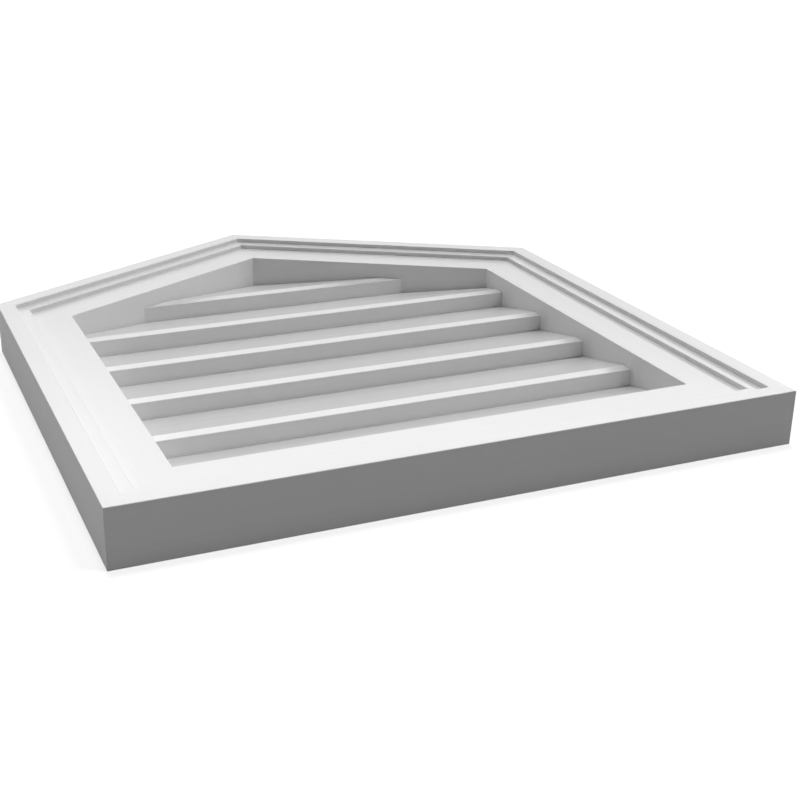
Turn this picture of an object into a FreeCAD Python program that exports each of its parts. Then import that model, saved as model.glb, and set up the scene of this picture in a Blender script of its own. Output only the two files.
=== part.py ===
import FreeCAD, Part
import math
import os

# Peaked gable vent, lying on its back with the louvres up.
# Five mitred lengths of stepped moulding frame a closed field of bevelled louvre boards.
# X runs along the bottom rail, Y from the bottom rail to the peak, Z out of the face.
# The origin is the middle of the back. All sizes are in millimetres.

# Outline of the vent; the roof rises by roof_rise over each roof_run
overall_width = 457.2
overall_height = 508.0
roof_rise = 7.0
roof_run = 12.0

# Section of the frame moulding, from its outer rim inwards
frame_depth = 38.1
frame_width = 50.8
rim_band = 12.7
middle_band = 9.525
step_drop = 3.175

# Section of a louvre board, from its thick front edge back
board_count = 6
board_thickness = 19.05
thin_edge = 6.35
land_width = 9.525

# Radius of every eased outer edge
edge_radius = 0.5


def vector(x, y, z=0.0):
    return FreeCAD.Vector(x, y, z)


def next_to(items, index):
    """The item after this one, going round a closed list."""
    return items[(index + 1) % len(items)]


def inward(start, end):
    """Unit vector to the left of a side, which is into an anticlockwise outline."""
    along = (end - start).normalize()
    return vector(-along.y, along.x)


def inset(outline, distance):
    """Corners of an outline whose sides have all moved in by one distance."""
    corners = []
    for index, corner in enumerate(outline):
        before = inward(outline[index - 1], corner)
        after = inward(corner, next_to(outline, index))
        corners.append(corner + (before + after) * (distance / (1.0 + before.dot(after))))
    return corners


def corner_arc(before, point, after, radius):
    """Start, middle and end of the arc that rounds one corner; all one point at no radius."""
    back = (before - point).normalize()
    ahead = (after - point).normalize()
    half = back.getAngle(ahead) / 2.0
    reach = radius / math.tan(half)
    middle = point + (back + ahead).normalize() * (radius / math.sin(half) - radius)
    return point + back * reach, middle, point + ahead * reach


def section_face(corners):
    """Flat face through (point, radius) corners; a corner with a radius is rounded."""
    points = [point for point, _ in corners]
    arcs = []
    for index, (point, radius) in enumerate(corners):
        arcs.append(corner_arc(points[index - 1], point, next_to(points, index), radius))
    edges = []
    for index, (start, middle, end) in enumerate(arcs):
        if corners[index][1]:
            edges.append(Part.Arc(start, middle, end).toShape())
        edges.append(Part.makeLine(end, next_to(arcs, index)[0]))
    return Part.Face(Part.Wire(edges))


def plan_cutter(outline):
    """Upright prism over a plan outline, running past the back and the face of the vent."""
    wire = Part.makePolygon(outline + outline[:1])
    wire.translate(vector(0, 0, -frame_depth))
    return Part.Face(wire).extrude(vector(0, 0, 3 * frame_depth))


def frame_length(start, end, inner_start, inner_end):
    """One length of stepped moulding between two outer corners, mitred at both ends."""
    across = inward(start, end)
    middle_top = frame_depth - step_drop
    inner_top = middle_top - step_drop
    steps = [
        (0, 0, 0),
        (0, frame_depth, edge_radius),
        (rim_band, frame_depth, edge_radius),
        (rim_band, middle_top, 0),
        (rim_band + middle_band, middle_top, edge_radius),
        (rim_band + middle_band, inner_top, 0),
        (frame_width, inner_top, edge_radius),
        (frame_width, 0, 0),
    ]
    corners = [(start + across * reach + vector(0, 0, up), radius) for reach, up, radius in steps]
    moulding = section_face(corners).extrude(end - start)
    mitres = plan_cutter([start, end, inner_end, inner_start])
    return moulding.common(mitres).Solids[0]


def louvre_board(front, back, opening):
    """One bevelled board, from its thick front edge to the next board, cut to the opening."""
    left = min(corner.x for corner in opening)
    right = max(corner.x for corner in opening)
    corners = [
        (vector(left, front, 0), 0),
        (vector(left, front, board_thickness), edge_radius),
        (vector(left, front + land_width, board_thickness), 0),
        (vector(left, back, thin_edge), 0),
        (vector(left, back, 0), 0),
    ]
    board = section_face(corners).extrude(vector(right - left, 0, 0))
    return board.common(plan_cutter(opening)).Solids[0]


def save(shape, node):
    shape.exportStep("parts/" + node + ".step")


os.makedirs("parts", exist_ok=True)

# Outer corners, anticlockwise from the bottom left, and the opening inside the frame
half_width = overall_width / 2.0
bottom = -overall_height / 2.0
peak = overall_height / 2.0
shoulder = peak - half_width * roof_rise / roof_run
outline = [
    vector(-half_width, bottom),
    vector(half_width, bottom),
    vector(half_width, shoulder),
    vector(0, peak),
    vector(-half_width, shoulder),
]
opening = inset(outline, frame_width)

# Frame
frame_nodes = ["bottom_rail", "right_stile", "right_rake", "left_rake", "left_stile"]
for index, node in enumerate(frame_nodes):
    outer_end = next_to(outline, index)
    inner_end = next_to(opening, index)
    save(frame_length(outline[index], outer_end, opening[index], inner_end), node)

# Louvres, equal steps from the bottom rail to the peak of the opening
opening_bottom = min(corner.y for corner in opening)
opening_peak = max(corner.y for corner in opening)
louvre_step = (opening_peak - opening_bottom) / board_count
for index in range(board_count):
    front = opening_bottom + index * louvre_step
    save(louvre_board(front, front + louvre_step, opening), "louvre_board_%d" % (index + 1))
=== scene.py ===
import math

import bpy
from mathutils import Matrix, Vector


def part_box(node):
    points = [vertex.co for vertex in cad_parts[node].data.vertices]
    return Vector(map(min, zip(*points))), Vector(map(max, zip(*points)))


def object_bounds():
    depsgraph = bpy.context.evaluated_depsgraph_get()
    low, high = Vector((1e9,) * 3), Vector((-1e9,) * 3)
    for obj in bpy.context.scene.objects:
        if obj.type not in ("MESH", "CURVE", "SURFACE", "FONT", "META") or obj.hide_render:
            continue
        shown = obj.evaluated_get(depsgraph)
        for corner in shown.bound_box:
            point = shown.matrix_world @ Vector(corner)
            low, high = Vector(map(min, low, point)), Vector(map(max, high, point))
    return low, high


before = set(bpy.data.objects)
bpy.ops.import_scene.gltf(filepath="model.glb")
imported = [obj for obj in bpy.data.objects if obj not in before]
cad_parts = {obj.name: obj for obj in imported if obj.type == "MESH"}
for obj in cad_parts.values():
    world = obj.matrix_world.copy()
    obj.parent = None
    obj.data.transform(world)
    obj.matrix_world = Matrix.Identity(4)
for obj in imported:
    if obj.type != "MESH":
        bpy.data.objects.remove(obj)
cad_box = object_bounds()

# Camera, in metres and degrees, with lens and sensor in millimetres
camera_place = Vector((-0.3448, -0.8949, 0.3579))
camera_heading = 24.16
camera_tilt = 21.99
camera_roll = -0.94
camera_lens = 60.12
camera_nearest = 0.01
sensor_width = 36.0

# White cellular PVC, with a satin skin on its face and duller cut edges
pvc_dark = 0.845
pvc_light = 0.875
skin_roughness = 0.22
edge_roughness = 0.60
roughness_change = 0.02

# Upward part of the normal over which a cut edge turns into the face
edge_to_face = (0.2, 0.9)

# Noise in the PVC: features per metre, how far streaks are drawn out, and the range in use
mottle_scale = 14.0
streak_scale = 420.0
streak_detail = 3.0
streak_draw = 50.0
skin_scale = 1500.0
noise_middle = (0.3, 0.7)

# Bump of the skin, with its depth in metres
bump_strength = 0.2
bump_depth = 0.00002

# Share of the streaks in the tone and in the bump
tone_streak_share = 0.5
bump_streak_share = 0.3

# Floor: size in metres, grey for the light it throws back, grey and glow where it is seen
floor_size = 60.0
floor_bounce = 0.36
floor_lit = 0.50
floor_glow = 0.72

# Bright panels behind the vent, in metres and degrees: lowest and highest elevation, brightness
panel_distance = 8.0
panel_heading = 23.0
panel_spread = 29.0
panels = {
    "back_panel": (25.0, 34.0, 3.4),
    "low_panel": (21.0, 25.0, 1.9),
}

# Suns, in degrees: heading, elevation, angular width, level, and whether the gloss mirrors them
upper_width = 10.0
fill_width = 70.0
suns = {
    "top_light": (12.0, 78.0, upper_width, 0.28, False),
    "key_light": (119.0, 66.0, upper_width, 0.15, False),
    "right_fill": (105.0, 25.0, fill_width, 0.28, True),
    "left_fill": (310.0, 20.0, fill_width, 0.18, True),
}

scene = bpy.context.scene
scene.view_settings.view_transform = "Standard"


def link_object(name, data):
    made = bpy.data.objects.new(name, data)
    scene.collection.objects.link(made)
    return made


def add_node(tree, kind, inputs=None, **settings):
    """A new node with its settings made and its inputs set to values or joined to sockets."""
    made = tree.nodes.new(kind)
    for key, value in settings.items():
        setattr(made, key, value)
    for key, value in (inputs or {}).items():
        if isinstance(value, bpy.types.NodeSocket):
            tree.links.new(value, made.inputs[key])
        else:
            made.inputs[key].default_value = value
    return made


def empty_material(name):
    made = bpy.data.materials.new(name)
    made.use_nodes = True
    made.node_tree.nodes.clear()
    return made


def grey(level):
    return (level, level, level, 1.0)


def mapped(tree, coordinates, **inputs):
    """Coordinates moved, turned or scaled by the inputs of a mapping node."""
    inputs["Vector"] = coordinates
    return add_node(tree, "ShaderNodeMapping", inputs).outputs["Vector"]


def noise(tree, coordinates, scale, detail=2.0):
    """Grey noise between 0 and 1, with a feature size of about one over the scale."""
    inputs = {"Vector": coordinates, "Scale": scale, "Detail": detail}
    return add_node(tree, "ShaderNodeTexNoise", inputs).outputs["Fac"]


def remap(tree, value, source, target):
    """Maps the source range of a value to the target range."""
    inputs = {
        "Value": value,
        "From Min": source[0],
        "From Max": source[1],
        "To Min": target[0],
        "To Max": target[1],
    }
    return add_node(tree, "ShaderNodeMapRange", inputs).outputs["Result"]


def add_up(tree, first, second):
    inputs = {0: first, 1: second}
    return add_node(tree, "ShaderNodeMath", inputs, operation="ADD").outputs["Value"]


def blend(tree, first, second, second_share):
    """Two noises added up in shares, with the middle of their range spread out from 0 to 1."""
    first_part = remap(tree, first, noise_middle, (0.0, 1.0 - second_share))
    second_part = remap(tree, second, noise_middle, (0.0, second_share))
    return add_up(tree, first_part, second_part)


def seen_ray(tree):
    """One for rays from the camera and rays that a mirror or glass passes on, else zero."""
    ray = add_node(tree, "ShaderNodeLightPath").outputs
    bounced = add_up(tree, ray["Is Glossy Ray"], ray["Is Transmission Ray"])
    return add_up(tree, ray["Is Camera Ray"], bounced)


def pvc_noises(tree, coordinates, along, start):
    """Noises for the mottle, for streaks along one direction in plan, and for the skin."""
    turned = mapped(tree, coordinates, Rotation=(0.0, 0.0, -along), Location=(start,) * 3)
    drawn = mapped(tree, turned, Scale=(1.0 / streak_draw, 1.0, 1.0))
    mottle = noise(tree, turned, mottle_scale)
    streak = noise(tree, drawn, streak_scale, streak_detail)
    skin = noise(tree, turned, skin_scale)
    return mottle, streak, skin


def pvc_colour(tree, mottle, streak):
    """White that varies a little with the mottle and the streaks."""
    tone = blend(tree, mottle, streak, tone_streak_share)
    inputs = {"Factor": tone, "A": grey(pvc_dark), "B": grey(pvc_light)}
    return add_node(tree, "ShaderNodeMix", inputs, data_type="RGBA").outputs["Result"]


def pvc_roughness(tree, normal, streak):
    """Satin where the surface faces up, dull where it stands upright."""
    upward = add_node(tree, "ShaderNodeSeparateXYZ", {"Vector": normal}).outputs["Z"]
    base = remap(tree, upward, edge_to_face, (edge_roughness, skin_roughness))
    change = remap(tree, streak, noise_middle, (-roughness_change, roughness_change))
    return add_up(tree, base, change)


def pvc_normal(tree, skin, streak):
    """Slight unevenness of the skin."""
    height = blend(tree, skin, streak, bump_streak_share)
    inputs = {"Height": height, "Strength": bump_strength, "Distance": bump_depth}
    return add_node(tree, "ShaderNodeBump", inputs).outputs["Normal"]


def pvc(name, along, start):
    """White PVC drawn out along one direction in plan, given in radians from X."""
    made = empty_material(name)
    tree = made.node_tree
    place = add_node(tree, "ShaderNodeTexCoord").outputs
    mottle, streak, skin = pvc_noises(tree, place["Object"], along, start)
    inputs = {
        "Base Color": pvc_colour(tree, mottle, streak),
        "Roughness": pvc_roughness(tree, place["Normal"], streak),
        "Normal": pvc_normal(tree, skin, streak),
    }
    shader = add_node(tree, "ShaderNodeBsdfPrincipled", inputs).outputs["BSDF"]
    add_node(tree, "ShaderNodeOutputMaterial", {"Surface": shader})
    return made


def dress_vent():
    """Gives each piece PVC that runs along its own length."""
    low, high = cad_box
    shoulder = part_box("left_stile")[1].y
    roof_angle = math.atan2(high.y - shoulder, (high.x - low.x) / 2.0)
    runs = {
        "left_stile": math.pi / 2.0,
        "right_stile": math.pi / 2.0,
        "left_rake": roof_angle,
        "right_rake": -roof_angle,
    }
    for index, (name, piece) in enumerate(sorted(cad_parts.items())):
        piece.material_slots[0].material = pvc("pvc_" + name, runs.get(name, 0.0), float(index))


def floor_material():
    """White with a soft shadow where it is seen, and grey for the light it throws back."""
    made = empty_material("floor")
    tree = made.node_tree
    lit = add_node(tree, "ShaderNodeBsdfDiffuse", {"Color": grey(floor_lit)}).outputs["BSDF"]
    glow = add_node(tree, "ShaderNodeEmission", {"Strength": floor_glow}).outputs["Emission"]
    white = add_node(tree, "ShaderNodeAddShader", {0: lit, 1: glow}).outputs["Shader"]
    dim = add_node(tree, "ShaderNodeBsdfDiffuse", {"Color": grey(floor_bounce)}).outputs["BSDF"]
    inputs = {0: seen_ray(tree), 1: dim, 2: white}
    surface = add_node(tree, "ShaderNodeMixShader", inputs).outputs["Shader"]
    add_node(tree, "ShaderNodeOutputMaterial", {"Surface": surface})
    return made


def add_floor():
    """Wide square floor under the vent."""
    half = floor_size / 2.0
    corners = [(-half, -half, 0), (half, -half, 0), (half, half, 0), (-half, half, 0)]
    mesh = bpy.data.meshes.new("floor")
    mesh.from_pydata(corners, [], [(0, 1, 2, 3)])
    mesh.materials.append(floor_material())
    floor = link_object("floor", mesh)


def add_world():
    """White studio that lights the vent by its gloss alone."""
    world = bpy.data.worlds.new("studio")
    world.use_nodes = True
    tree = world.node_tree
    tree.nodes.clear()
    inputs = {"Color": grey(1.0), "Strength": seen_ray(tree)}
    white = add_node(tree, "ShaderNodeBackground", inputs).outputs["Background"]
    add_node(tree, "ShaderNodeOutputWorld", {"Surface": white})
    scene.world = world


def towards(heading, elevation):
    """Unit vector at a heading from +Y towards +X and a height above the floor, in degrees."""
    turn = math.radians(heading)
    rise = math.radians(elevation)
    level = math.cos(rise)
    return Vector((math.sin(turn) * level, math.cos(turn) * level, math.sin(rise)))


def add_lamp(name, data, place):
    """A lamp that shines from its place towards the middle of the vent."""
    lamp = link_object(name, data)
    lamp.location = place
    lamp.rotation_mode = "QUATERNION"
    lamp.rotation_quaternion = place.to_track_quat("Z", "Y")
    return lamp


def add_panel(name, low, high, brightness):
    """Wide bright panel behind the vent, between two elevations."""
    data = bpy.data.lights.new(name, "AREA")
    data.shape = "RECTANGLE"
    data.size = 2.0 * panel_distance * math.tan(math.radians(panel_spread))
    data.size_y = 2.0 * panel_distance * math.tan(math.radians((high - low) / 2.0))
    data.energy = brightness * math.pi * data.size * data.size_y
    add_lamp(name, data, towards(panel_heading, (low + high) / 2.0) * panel_distance)


def add_sun(name, heading, elevation, width, level, mirrored):
    """Even light from one side; a white surface that faces it renders at the level."""
    data = bpy.data.lights.new(name, "SUN")
    data.angle = math.radians(width)
    data.energy = level * math.pi
    lamp = add_lamp(name, data, towards(heading, elevation))
    lamp.visible_glossy = mirrored


def camera_turn():
    """Rotation from the camera's own axes: right, up and back."""
    ahead = towards(camera_heading, -camera_tilt)
    level = towards(camera_heading + 90.0, 0.0)
    below = ahead.cross(level)
    roll = math.radians(camera_roll)
    right = math.cos(roll) * level + math.sin(roll) * below
    down = math.cos(roll) * below - math.sin(roll) * level
    return Matrix((right, -down, -ahead)).transposed()


def add_camera():
    data = bpy.data.cameras.new("camera")
    data.sensor_width = sensor_width
    data.lens = camera_lens
    data.clip_start = camera_nearest
    camera = link_object("camera", data)
    camera.matrix_world = Matrix.Translation(camera_place) @ camera_turn().to_4x4()
    scene.camera = camera


dress_vent()
add_floor()
add_world()
for panel_name, panel in panels.items():
    add_panel(panel_name, *panel)
for sun_name, sun in suns.items():
    add_sun(sun_name, *sun)
add_camera()
